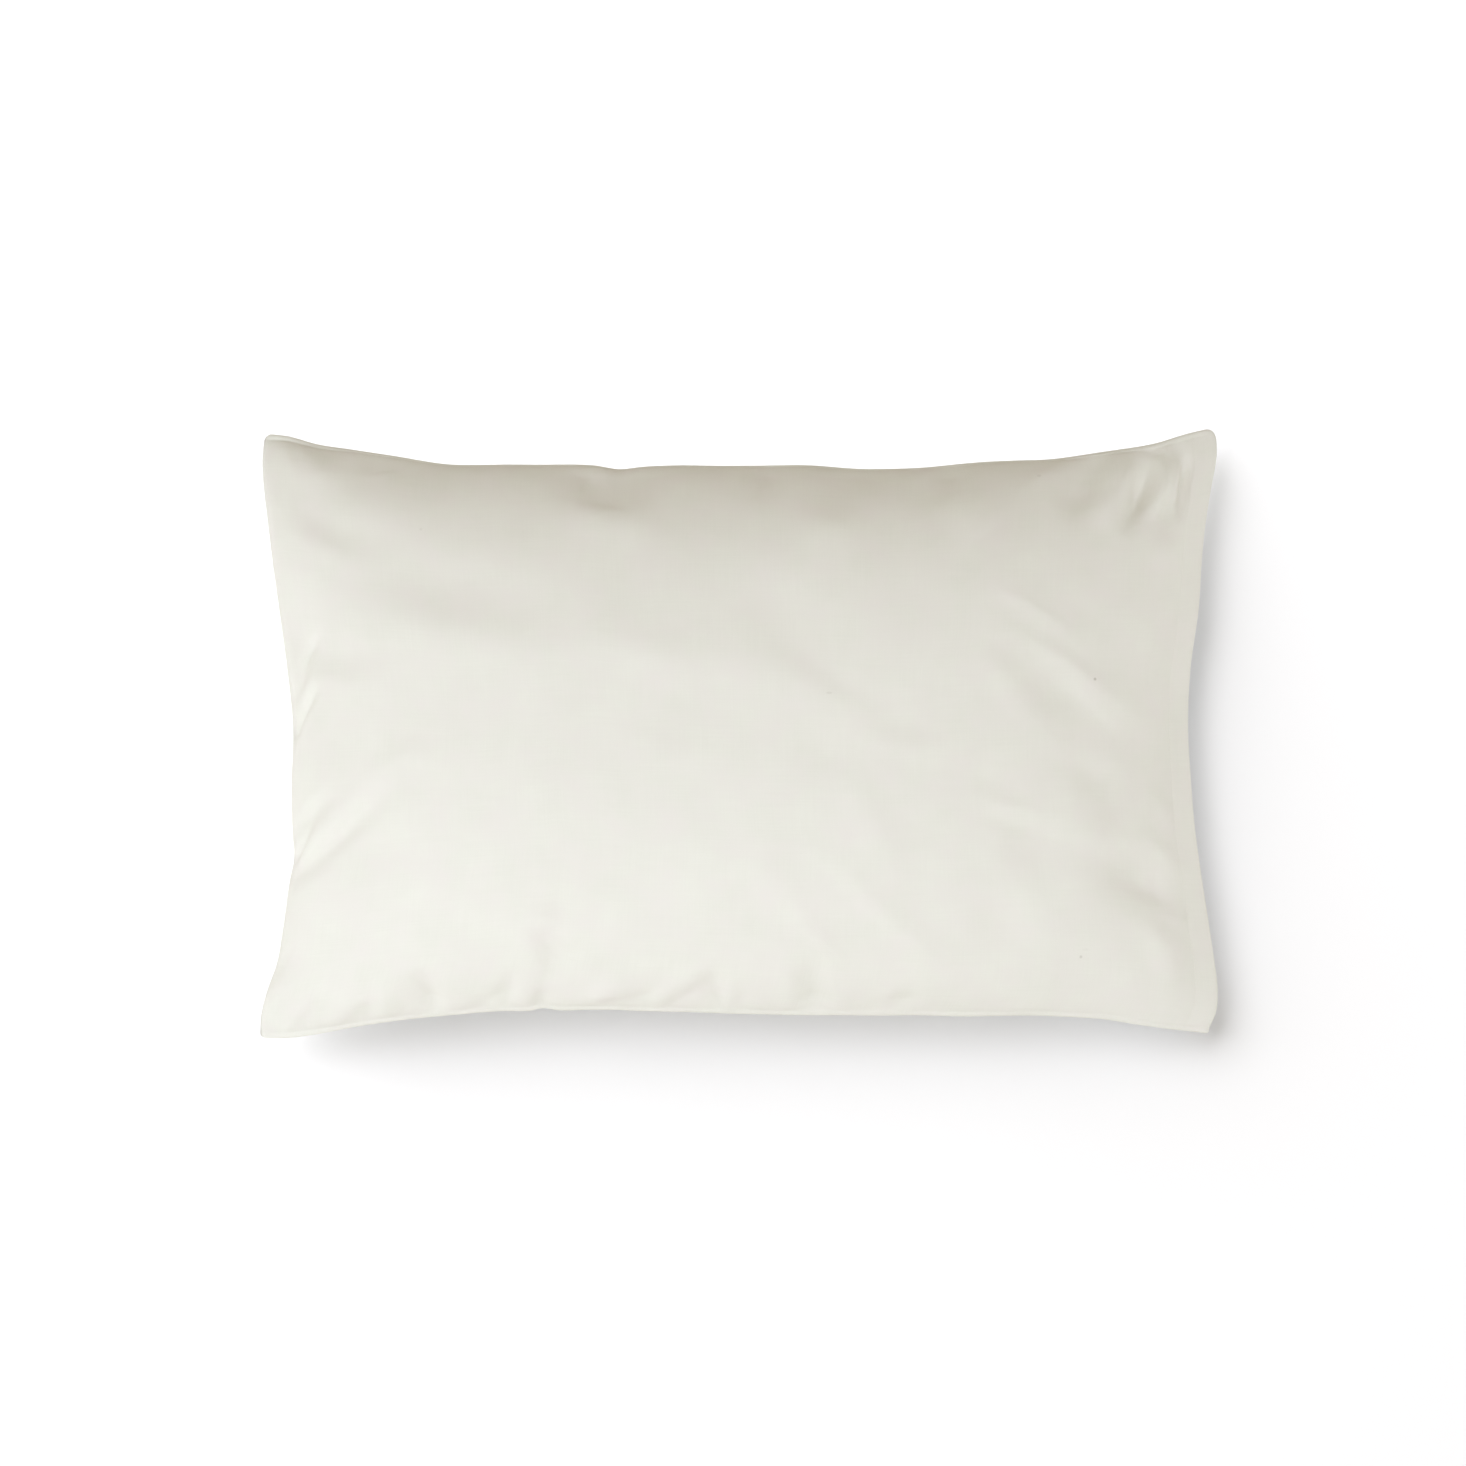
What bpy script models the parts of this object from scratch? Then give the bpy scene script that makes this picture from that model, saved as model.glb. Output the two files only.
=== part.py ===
"""A bed pillow in a plain cream cotton pillowcase, lying on its back.

The case is one long piece of cotton. It turns round in a fold at the -X end, is seamed
along both long sides, and closes at the +X end in a flat hem band, where its mouth lies
shut. Sizes are in metres, +Z is up, and the origin is on the surface that the pillow
rests on, under the middle of its outline.
"""

import math
from collections import namedtuple

import bmesh
import bpy
import numpy as np

NAME = "pillowcase"
MM = 0.001

# The filled case, from the side
SEAM_HEIGHT = 0.054  # seam above the surface, at the middle of each side
CORNER_HEIGHT = 0.034  # the same at the four corners, which sink
MOUTH_HEIGHT = 0.042  # and at the middle of the mouth, which the filling doesn't reach
TOP_RISE = 0.076  # crown above the seam
BACK_DROP = 0.095  # what the back would hang below the seam, before the surface stops it
REST_BLEND = 0.007  # how softly the back meets its flat patch

# How the crown spreads: a higher power is flatter in the middle and steeper at the seam.
# A roundness of 0.5 meets the seam upright, and one near 1 tapers down to it.
END_POWER = 3.2
WIDTH_POWER = 2.7
FOLD_END_ROUND = 0.65
MOUTH_END_ROUND = 0.85
WIDTH_ROUND = 0.76
SINK_POWER = 4  # how close to the corners they sink and level off

# Edges of the cotton
SEAM_LIP = 0.0045  # pressed seam that stands out along both long sides
LIP_THICKNESS = 0.0022
HEM_BAND = 0.022  # flat hem at the mouth
HEM_THICKNESS = 0.0032
FAR_DROOP = math.radians(62)  # the far seam's lip hangs under the crown
NEAR_DROOP = math.radians(14)
HEM_DROOP = math.radians(26)  # the hem carries on down the slope of the crown
HEM_LEVELLING = 0.8  # share of that droop which is gone at the corners
CORNER_RADIUS = 0.009

# The net of faces over each panel
COLUMNS = 72
ROWS = 46
EDGE_CROWDING = 0.45  # 0 spaces the net evenly, 1 packs it towards the seams

PATH_STEPS = 40  # places at which the path of a fold is read
STITCH_GRIP = 0.2  # share of the full crown within which the stitching holds the folds flat
SHARP_EDGE = math.radians(60)

COTTON_COLOUR = (0.84, 0.82, 0.75, 1.0)
COTTON_ROUGHNESS = 0.9

# Outline from above, in millimetres. The long sides are read along their stitching and
# draw in by about 30 mm between the corners.
LongSide = namedtuple("LongSide", "x near far")
LONG_SIDES = [
    LongSide(-400, -249, 246),
    LongSide(-380, -249, 244.5),
    LongSide(-355, -246, 237),
    LongSide(-325, -241, 231.5),
    LongSide(-285, -235, 225),
    LongSide(-245, -231, 218.5),
    LongSide(-190, -227, 218.5),
    LongSide(-120, -225.5, 218),
    LongSide(-60, -227.5, 217),
    LongSide(0, -229, 216.5),
    LongSide(50, -230.5, 217.5),
    LongSide(110, -231.5, 214.5),
    LongSide(170, -231.5, 217.5),
    LongSide(220, -231.5, 222.5),
    LongSide(265, -232.5, 224.5),
    LongSide(305, -235.5, 230),
    LongSide(345, -240, 237),
    LongSide(378, -244, 247),
    LongSide(400, -246, 252),
]

# The short ends are read along the round fold and along the outer edge of the hem.
ShortEnd = namedtuple("ShortEnd", "y fold hem")
SHORT_ENDS = [
    ShortEnd(-252, -392, 386.5),
    ShortEnd(-240, -391, 392),
    ShortEnd(-220, -386, 394),
    ShortEnd(-195, -377, 391.5),
    ShortEnd(-165, -371.5, 387.5),
    ShortEnd(-124, -366, 382),
    ShortEnd(-108, -363, 380),
    ShortEnd(-85, -364.5, 377.5),
    ShortEnd(-45, -366, 375),
    ShortEnd(0, -365.5, 373.5),
    ShortEnd(50, -371, 376.5),
    ShortEnd(100, -378.5, 384),
    ShortEnd(150, -386.5, 388.5),
    ShortEnd(180, -391, 392.5),
    ShortEnd(205, -395, 397),
    ShortEnd(235, -398.5, 402.5),
    ShortEnd(254, -398.5, 402.5),
]

# Each fold runs from its start, through its middle, to its end, seen from above. Height
# is over the cloth around it, and a trough has a height below zero. Millimetres.
Fold = namedtuple("Fold", "start_x start_y middle_x middle_y end_x end_y half_width height")

# These come out of the edge, where they are deepest.
TOP_EDGE_FOLDS = [
    # far fold corner, then along the far seam
    Fold(-387, 247, -352, 219, -326, 189, 16, 6.5),
    Fold(-305, 224, -281, 213, -290, 194, 13, -1.5),
    Fold(-276, 225, -273, 199, -268, 179, 20, -1.5),
    Fold(-105, 227, -102, 199, -106, 175, 20, 11),
    Fold(26, 221, 21, 195, 10, 174, 19, -3.5),
    Fold(95, 218, 72, 190, 57, 166, 20, -3),
    Fold(174, 223, 163, 194, 128, 178, 12, -4.5),
    # fan at the far hem corner
    Fold(294, 246, 257, 211, 217, 182, 9, 3.5),
    Fold(305, 240, 287, 195, 254, 175, 15, -9),
    Fold(320, 241, 301, 197, 288, 160, 12, 7),
    Fold(329, 241, 316, 197, 289, 162, 7, 2.5),
    Fold(336, 246, 330, 191, 308, 158, 9, -5),
    Fold(352, 244, 336, 198, 321, 167, 6, -3),
    Fold(365, 247, 351, 199, 335, 169, 6, 3.5),
    Fold(363, 240, 370, 199, 332, 167, 12, -7),
    # pulls at the round fold, and the kink in it
    Fold(-367, 14, -355, 47, -339, 81, 7, -4.5),
    Fold(-367, -10, -352, 14, -332, 32, 6, -3.5),
    Fold(-365, -87, -344, -73, -317, -53, 8, -4.5),
    Fold(-361, -115, -331, -86, -300, -42, 7, 4.5),
    Fold(-363, -118, -325, -92, -263, -46, 11, -6),
    # near fold corner, then gathers along the near seam
    Fold(-343, -257, -314, -227, -280, -211, 9, 6),
    Fold(-317, -252, -302, -229, -290, -214, 7, -4.5),
    Fold(-243, -239, -252, -212, -261, -194, 10, -6),
    Fold(-130, -238, -102, -213, -62, -203, 9, 5),
    Fold(-16, -236, -21, -212, -19, -196, 8, -5),
    Fold(64, -239, 58, -208, 63, -180, 13, -7.5),
    Fold(99, -239, 125, -232, 150, -213, 11, -6.5),
    # strong pull in from the hem
    Fold(380, -135, 326, -125, 283, -97, 20, -11.5),
]
BACK_EDGE_FOLDS = [
    # one ear at each corner
    Fold(-394, 241, -360, 214, -325, 190, 14, 5),
    Fold(-388, -243, -358, -216, -326, -192, 14, 5),
    Fold(372, 243, 345, 214, 316, 188, 14, 5),
    Fold(368, -240, 340, -212, 312, -188, 14, 5),
    # gathers between them
    Fold(-215, 240, -212, 206, -205, 186, 10, -4),
    Fold(-75, 240, -78, 204, -86, 184, 11, -4),
    Fold(70, 240, 74, 204, 66, 184, 10, -3.5),
    Fold(205, 245, 202, 210, 192, 188, 11, -4),
    Fold(-240, -250, -232, -216, -222, -194, 10, -4),
    Fold(-90, -245, -94, -212, -104, -190, 11, -4),
    Fold(45, -250, 48, -214, 40, -192, 10, -3.5),
    Fold(190, -250, 184, -216, 172, -194, 11, -4),
    Fold(-385, 60, -352, 52, -330, 58, 11, -4),
    Fold(-380, -60, -350, -66, -326, -56, 11, -4),
    Fold(372, 70, 338, 62, 312, 68, 11, -4),
    Fold(372, -80, 336, -72, 310, -80, 11, -4),
]

# These lie out on the panel and fade towards both ends.
TOP_FREE_FOLDS = [
    # long soft waves from the far fold corner over the crown
    Fold(-392, 265, -349, 195, -280, 192, 18, 1),
    Fold(-377, 207, -334, 162, -258, 144, 13, -2),
    Fold(-323, 133, -240, 107, -121, 79, 20, -3),
    Fold(-65, 50, 17, 43, 91, 3, 20, 1.5),
    Fold(-41, 89, 33, 86, 115, 8, 20, -1.5),
    Fold(80, -6, 128, -21, 170, -17, 10, 1),
    # under the far seam
    Fold(-150, 189, -105, 165, -60, 169, 18, 3.5),
    Fold(40, 167, 70, 153, 100, 169, 18, 2),
    Fold(205, 158, 190, 164, 160, 161, 20, 1.5),
    Fold(332, 146, 356, 148, 375, 172, 12, 2),
    # slanting pulls along the hem end
    Fold(215, 118, 259, 90, 318, 78, 15, -1),
    Fold(195, 110, 247, 93, 306, 47, 11, 1),
    Fold(191, 87, 240, 54, 331, 7, 13, 2),
    Fold(201, 84, 250, 33, 308, -29, 20, -4),
    Fold(249, -33, 282, -39, 320, -54, 11, -1.5),
    Fold(260, -45, 293, -55, 315, -86, 16, -2),
    Fold(202, -112, 239, -102, 272, -126, 20, -3),
    Fold(192, -132, 210, -160, 247, -155, 18, -4),
    Fold(311, -145, 345, -181, 359, -227, 12, 3.5),
    # long pulls towards the near side
    Fold(31, 21, 81, -50, 123, -121, 15, -1),
    Fold(51, -26, 98, -73, 129, -138, 14, 2.5),
    Fold(30, -96, 95, -145, 178, -212, 14, 6),
    Fold(25, -99, 86, -139, 159, -216, 12, -4.5),
    Fold(1, -104, 45, -147, 87, -206, 13, 2),
    # above the gathers, and at the end of the kink
    Fold(-170, -141, -159, -168, -137, -193, 9, 2.5),
    Fold(-157, -152, -151, -178, -118, -200, 10, -6),
    Fold(-299, -54, -269, -29, -232, -26, 11, 2),
]

# Broad hollows and swells in the filling under the top panel, in millimetres
Swell = namedtuple("Swell", "x y reach_x reach_y height")
TOP_SWELLS = [
    Swell(-103, 203, 30, 24, -10),
    Swell(-315, 52, 26, 14, -2),
    Swell(-250, -130, 130, 90, 3),
    Swell(170, -60, 120, 90, -3),
    Swell(110, 150, 150, 60, 2),
]


def clear_scene():
    """Start from an empty scene."""
    for leftover in list(bpy.data.objects):
        bpy.data.objects.remove(leftover, do_unlink=True)


def read_side(table, place, column):
    """One column of an outline table at each place, on a smooth curve through its rows."""
    rows = np.array(table) * MM
    places = rows[:, 0]
    values = rows[:, column]
    slopes = np.gradient(values, places)
    row = np.clip(np.searchsorted(places, place) - 1, 0, len(places) - 2)
    gap = places[row + 1] - places[row]
    share = (place - places[row]) / gap
    start = (1 + 2 * share) * (1 - share) ** 2 * values[row]
    end = share**2 * (3 - 2 * share) * values[row + 1]
    leave = share * (1 - share) ** 2 * gap * slopes[row]
    arrive = share**2 * (share - 1) * gap * slopes[row + 1]
    return start + end + leave + arrive


def net_stations(count):
    """Places from -1 to 1, closer together towards both ends."""
    even = np.linspace(-1, 1, count)
    return (1 - EDGE_CROWDING) * even + EDGE_CROWDING * np.sin(math.pi / 2 * even)


def net_places(panel):
    """For each point of a flat net: u and v over the filled cloth, and its share of hem and lip."""
    corners = np.array([point.co for point in panel.verts])
    column = np.rint((corners[:, 0] + 1) / 2 * COLUMNS).astype(int)
    row = np.rint((corners[:, 1] + 1) / 2 * ROWS).astype(int)
    along = net_stations(COLUMNS - 1)
    across = net_stations(ROWS - 1)
    u = np.concatenate([along, [1, 1]])[column]
    hem = np.concatenate([0 * along, [0.5, 1]])[column]
    v = np.concatenate([[-1], across, [1]])[row]
    lip = np.concatenate([[-1], 0 * across, [1]])[row]
    return u, v, hem, lip


def outline_place(u, v, hem, lip):
    """Where the cloth lies, seen from above."""
    x_start = LONG_SIDES[0].x * MM
    y_start = SHORT_ENDS[0].y * MM
    length = LONG_SIDES[-1].x * MM - HEM_BAND - x_start
    width = SHORT_ENDS[-1].y * MM - y_start
    x_guess = x_start + (u + 1) / 2 * length + hem * HEM_BAND
    y_guess = y_start + (v + 1) / 2 * width
    fold_edge = read_side(SHORT_ENDS, y_guess, 1)
    hem_width = HEM_BAND * np.cos(hem_droop(v))
    hem_stitching = read_side(SHORT_ENDS, y_guess, 2) - hem_width
    near = read_side(LONG_SIDES, x_guess, 1)
    far = read_side(LONG_SIDES, x_guess, 2)
    x = fold_edge + (u + 1) / 2 * (hem_stitching - fold_edge)
    y = near + (v + 1) / 2 * (far - near)
    return x + hem * hem_width, y + lip * SEAM_LIP * np.cos(lip_droop(u, lip))


def lip_droop(u, lip):
    """Angle at which the seam's lip hangs: steepest at the middle of a side, level at its corners."""
    return np.where(lip > 0, FAR_DROOP, NEAR_DROOP) * (1 - np.abs(u) ** SINK_POWER)


def hem_droop(v):
    """Angle at which the hem hangs, which levels off towards the corners."""
    return HEM_DROOP * (1 - HEM_LEVELLING * np.abs(v) ** SINK_POWER)


def puff(u, v):
    """Share of the full crown: 0 along the stitching and 1 in the middle."""
    end_round = np.where(u > 0, MOUTH_END_ROUND, FOLD_END_ROUND)
    along = (1 - np.abs(u) ** END_POWER) ** end_round
    across = (1 - np.abs(v) ** WIDTH_POWER) ** WIDTH_ROUND
    return along * across


def edge_height(u, v, hem, lip):
    """Height of the middle of the seam, carried inwards over the whole panel."""
    end_height = np.where(u > 0, MOUTH_HEIGHT, SEAM_HEIGHT)
    end_height = end_height + (CORNER_HEIGHT - end_height) * np.abs(v) ** SINK_POWER
    height = SEAM_HEIGHT + (end_height - SEAM_HEIGHT) * np.abs(u) ** SINK_POWER
    lip_drop = np.abs(lip) * SEAM_LIP * np.sin(lip_droop(u, lip))
    hem_drop = hem * HEM_BAND * np.sin(hem_droop(v))
    return height - lip_drop - hem_drop


def round_corners(x, y):
    """Draws the four corner points in onto arcs."""
    for side_x in (-1, 1):
        for side_y in (-1, 1):
            reach = side_x * x + side_y * y
            corner = np.argmax(reach)
            pull = CORNER_RADIUS * (1 - math.sqrt(0.5))
            x[corner] -= side_x * pull
            y[corner] -= side_y * pull


def curve_through(start, middle, end, share):
    """Places on a smooth curve through three places, and its direction there."""
    place = (1 - share) * (1 - 2 * share) * start
    place += 4 * share * (1 - share) * middle + share * (2 * share - 1) * end
    direction = (4 * share - 3) * start + (4 - 8 * share) * middle + (4 * share - 1) * end
    return place * MM, direction * MM


def edge_fade(share):
    """A fold that is full at the edge and runs out inside the panel."""
    return (1 - share**2) ** 1.5


def free_fade(share):
    """A fold that runs out at both ends."""
    return np.sin(math.pi * share) ** 1.3


def folds_at(folds, fade, x, y):
    """Height that a list of folds adds: a soft bell across each one."""
    height = np.zeros_like(x)
    steps = np.linspace(0, 1, PATH_STEPS)
    for fold in folds:
        path_x, along_x = curve_through(fold.start_x, fold.middle_x, fold.end_x, steps)
        path_y, along_y = curve_through(fold.start_y, fold.middle_y, fold.end_y, steps)
        nearest = np.hypot(x[:, None] - path_x, y[:, None] - path_y).argmin(axis=1)
        from_x = x - path_x[nearest]
        from_y = y - path_y[nearest]
        along_x = along_x[nearest]
        along_y = along_y[nearest]
        slip = (from_x * along_x + from_y * along_y) / (along_x**2 + along_y**2)
        share = np.clip(steps[nearest] + slip, 0, 1)
        slip = share - steps[nearest]
        away = np.hypot(from_x - slip * along_x, from_y - slip * along_y)
        bell = np.exp(-((away / (fold.half_width * MM)) ** 2))
        height += fold.height * MM * bell * fade(share)
    return height


def swells_at(swells, x, y):
    """Height that the uneven filling adds."""
    height = np.zeros_like(x)
    for swell in swells:
        away_x = (x / MM - swell.x) / swell.reach_x
        away_y = (y / MM - swell.y) / swell.reach_y
        height += swell.height * MM * np.exp(-(away_x**2) - away_y**2)
    return height


def rest(z):
    """Stops the cloth at the surface, which it meets in a short curve."""
    curve = (z + REST_BLEND) ** 2 / (4 * REST_BLEND)
    return np.where(z <= -REST_BLEND, 0, np.where(z < REST_BLEND, curve, z))


def place_points(panel, x, y, z):
    """Moves a panel's points, in the order in which they were read."""
    for point, place in zip(panel.verts, np.column_stack([x, y, z])):
        point.co = place


def make_panel(side):
    """One panel with its fullness and folds: side is 1 for the top and -1 for the back."""
    panel = bmesh.new()
    bmesh.ops.create_grid(panel, x_segments=COLUMNS, y_segments=ROWS, size=1)
    u, v, hem, lip = net_places(panel)
    x, y = outline_place(u, v, hem, lip)
    round_corners(x, y)
    fullness = puff(u, v)
    half_cloth = np.where(hem > 0, HEM_THICKNESS, LIP_THICKNESS) / 2
    rise = TOP_RISE if side > 0 else BACK_DROP
    z = edge_height(u, v, hem, lip) + side * (half_cloth + rise * fullness)
    place_points(panel, x, y, z)
    if side < 0:
        bmesh.ops.reverse_faces(panel, faces=panel.faces)
    panel.normal_update()

    if side > 0:
        push = folds_at(TOP_EDGE_FOLDS, edge_fade, x, y)
        push += folds_at(TOP_FREE_FOLDS, free_fade, x, y) + swells_at(TOP_SWELLS, x, y)
    else:
        push = folds_at(BACK_EDGE_FOLDS, edge_fade, x, y)
    push *= np.clip(fullness / STITCH_GRIP, 0, 1)
    facing = np.array([point.normal for point in panel.verts])
    x, y, z = np.column_stack([x, y, z]).T + facing.T * push
    place_points(panel, x, y, z if side > 0 else rest(z))
    return panel


def join_panels(top, back):
    """Both panels in one mesh, closed along the edge of the cloth."""
    mesh = bpy.data.meshes.new(NAME)
    shell = bmesh.new()
    for panel in (top, back):
        panel.to_mesh(mesh)
        shell.from_mesh(mesh)
        panel.free()
    rims = [edge for edge in shell.edges if edge.is_boundary]
    bmesh.ops.bridge_loops(shell, edges=rims)
    flat_patch = [face for face in shell.faces if all(point.co.z == 0 for point in face.verts)]
    bmesh.ops.dissolve_faces(shell, faces=flat_patch, use_verts=True)
    bmesh.ops.recalc_face_normals(shell, faces=shell.faces)

    places = np.array([point.co for point in shell.verts])
    middle = (places.min(axis=0) + places.max(axis=0)) / 2
    bmesh.ops.translate(shell, verts=shell.verts, vec=(-middle[0], -middle[1], 0))
    shell.to_mesh(mesh)
    shell.free()
    return mesh


def cotton():
    """Cream cotton, undyed and matt."""
    material = bpy.data.materials.new("cream cotton")
    material.use_nodes = True
    finish = material.node_tree.nodes["Principled BSDF"]
    finish.inputs["Base Color"].default_value = COTTON_COLOUR
    finish.inputs["Roughness"].default_value = COTTON_ROUGHNESS
    finish.inputs["Metallic"].default_value = 0.0
    return material


def main():
    clear_scene()
    mesh = join_panels(make_panel(1), make_panel(-1))
    mesh.shade_smooth()
    mesh.set_sharp_from_angle(angle=SHARP_EDGE)
    mesh.materials.append(cotton())
    pillowcase = bpy.data.objects.new(NAME, mesh)
    collection = bpy.data.collections.new("filled pillowcase")
    bpy.context.scene.collection.children.link(collection)
    collection.objects.link(pillowcase)


main()
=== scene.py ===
"""A bed pillow in a plain cream cotton pillowcase, lying on its back: the looks.

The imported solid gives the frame. The piece here stands for it, with the same outline and
crown, and with what the solid leaves out: a finer net of cloth, small creases, the pressed
seam lips, the stitching, and the two hemmed edges of the mouth, which lie shut. Tables are
in millimetres and everything else is in metres.
"""

import math
from collections import namedtuple

import bpy
import numpy as np
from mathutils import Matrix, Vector, noise


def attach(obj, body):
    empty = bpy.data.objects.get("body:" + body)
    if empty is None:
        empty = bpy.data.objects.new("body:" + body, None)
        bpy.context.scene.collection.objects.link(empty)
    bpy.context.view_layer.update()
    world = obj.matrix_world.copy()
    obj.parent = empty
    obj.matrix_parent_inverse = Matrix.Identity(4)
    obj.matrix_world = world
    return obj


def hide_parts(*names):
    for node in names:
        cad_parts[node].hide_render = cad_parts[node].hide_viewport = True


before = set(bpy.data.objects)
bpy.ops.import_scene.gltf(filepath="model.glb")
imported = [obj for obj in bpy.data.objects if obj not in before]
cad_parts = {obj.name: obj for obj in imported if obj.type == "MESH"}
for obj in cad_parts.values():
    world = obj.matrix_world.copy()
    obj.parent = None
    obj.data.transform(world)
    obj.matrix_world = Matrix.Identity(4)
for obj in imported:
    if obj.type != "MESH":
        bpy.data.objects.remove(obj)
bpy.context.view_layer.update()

NODE = "pillowcase"
BODY = "root"
PICTURE = "OFBake"
MM = 0.001

# ---- the filled case, in metres
SEAM_HEIGHT = 0.054  # of the seams and the round fold over the surface, halfway along
CORNER_HEIGHT = 0.034
MOUTH_HEIGHT = 0.042
TOP_RISE = 0.076  # of the crown over the seams
BACK_DROP = 0.095  # of the back below them, were there no surface to stop it
REST_BLEND = 0.007  # how gently the back meets the surface
HALF_WIDTH = 0.22
# How flat the crown stays along and across the case, and how round it falls at its edges
END_POWER = 3.2
WIDTH_POWER = 2.7
FOLD_END_ROUND = 0.65
MOUTH_END_ROUND = 0.85
WIDTH_ROUND = 0.76
SINK_POWER = 4  # power with which the seams sink towards the corners
# The far seam hangs lower towards the hem, about this share of the way along
FAR_SAG = 0.005
FAR_SAG_AT = 0.6
FAR_SAG_REACH = 0.22
FAR_SAG_POWER = 6

# Seam lips, along both long sides
SEAM_LIP = 0.0045
LIP_THICKNESS = 0.0022
LIP_ROUNDS_FROM = 0.55  # share of the lip at which its edge starts to round off
STITCH_PINCH = 0.45  # how far the stitching closes the lip at its root
FAR_DROOP = math.radians(62)
NEAR_DROOP = math.radians(45)
NEAR_SEAM_OUT = 0.0012  # how far the near seam stands out over its hanging lip
LIP_LEVELS = 9  # power with which both lips level off towards the corners
LIP_WAVER = math.radians(12)
LIP_WAVER_LENGTH = 0.045
LIP_WAVER_SEED = 2.5

# Hem band and mouth
HEM_BAND = 0.022
HEM_THICKNESS = 0.0032
HEM_EDGE_RADIUS = HEM_THICKNESS / 4  # each of the mouth's two edges is rounded
HEM_DROOP = math.radians(31)
HEM_LEVELLING = 0.5  # share of its droop that the hem loses at the corners
HEM_CURL = 0.0015  # how far the hem's free edge curls down
HEM_WAVE = 0.0011
HEM_WAVE_LENGTH = 0.085
HEM_WAVE_SEED = 5.5
HEM_EASE_COLUMNS = 26  # columns over which the crown runs smoothly out into the hem
HEM_EASE_ROUNDS = 160
MOUTH_DEPTH = 0.007  # how far in the slit between the two hemmed edges can be seen
MOUTH_GAP = 0.0007
MOUTH_CLOSES = 8  # power with which the slit closes towards the two seams

# Net of the cloth
CLOTH_COLUMNS = 250
CLOTH_ROWS = 158
HEM_COLUMNS = 8
EDGE_ARC_COLUMNS = 4
SLIT_COLUMNS = 3
LIP_SHARES = (0.22, 0.45, 0.65, 0.82, 0.94, 1.0)
EDGE_CROWDING = 0.45  # how much closer the rows and columns lie towards the edges
FOLD_CLOSES = 0.012  # share of the length over which the cloth's thickness closes at the fold

# Flat layout of the cloth, in its picture
BAKE_SCALE = 0.9  # share of the picture that a metre of cloth takes
BAKE_MARGIN = 0.012

# Folds
PATH_STEPS = 40
FOLD_REACH = 3  # in half widths, past which a fold is too low to matter
EDGE_FADE_POWER = 1.5
FREE_FADE_POWER = 1.3
STITCH_GRIP = 0.2  # share of the crown below which the stitching holds folds down
CREASE_GRIP = 0.015  # the same for the sharp creases, which run on into the stitching

# Small unevenness of the cloth
PUCKER_HEIGHT = 0.0006
PUCKER_LENGTH = 0.011
PUCKER_STRETCH = 0.15  # puckers run across the seam, so they change slowly that way
PUCKER_REACH = 0.020
PUCKER_SEED = 7.5
RUFFLE_HEIGHT = 0.00045
RUFFLE_LENGTH = 0.050
RUFFLE_SEED = 11.5

# Stitching lines along both long sides: the near and far place at each station along the case
LongSide = namedtuple("LongSide", "x near far")
LONG_SIDES = [
    LongSide(-400, -249, 245),
    LongSide(-380, -249, 242.5),
    LongSide(-355, -246, 235.5),
    LongSide(-325, -241, 231.5),
    LongSide(-285, -235, 225),
    LongSide(-245, -231, 218.5),
    LongSide(-190, -227, 218),
    LongSide(-172, -226.6, 217.5),
    LongSide(-160, -224.4, 217.5),
    LongSide(-149, -226.2, 217.8),
    LongSide(-123, -226, 217.2),
    LongSide(-101, -226, 213.8),
    LongSide(-82, -227, 216),
    LongSide(-60, -227.5, 217),
    LongSide(0, -229, 216.5),
    LongSide(50, -230, 217),
    LongSide(110, -230.5, 214),
    LongSide(170, -230.5, 217.5),
    LongSide(220, -231, 222.5),
    LongSide(265, -231, 224.5),
    LongSide(305, -233, 230),
    LongSide(345, -239, 236.5),
    LongSide(378, -243.5, 246.5),
    LongSide(400, -246, 252),
]

# The round fold and the free edge of the hem, at each station across the case
ShortEnd = namedtuple("ShortEnd", "y fold hem")
SHORT_ENDS = [
    ShortEnd(-252, -392, 386.5),
    ShortEnd(-240, -391, 392),
    ShortEnd(-220, -386, 394),
    ShortEnd(-195, -377, 391.5),
    ShortEnd(-165, -371.5, 387.5),
    ShortEnd(-124, -366, 382),
    ShortEnd(-108, -363, 380),
    ShortEnd(-85, -364.5, 377.5),
    ShortEnd(-45, -366, 375),
    ShortEnd(0, -365.5, 373.5),
    ShortEnd(50, -371, 376.5),
    ShortEnd(100, -378.5, 384),
    ShortEnd(150, -386.5, 388.5),
    ShortEnd(180, -391, 392.5),
    ShortEnd(205, -395, 397),
    ShortEnd(235, -398.5, 402.5),
    ShortEnd(254, -398.5, 402.5),
]

# How round the outline is at each corner
Corner = namedtuple("Corner", "side_x side_y radius")
CORNERS = [
    Corner(-1, 1, 7),
    Corner(-1, -1, 4),
    Corner(1, 1, 11),
    Corner(1, -1, 3),
]

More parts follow.
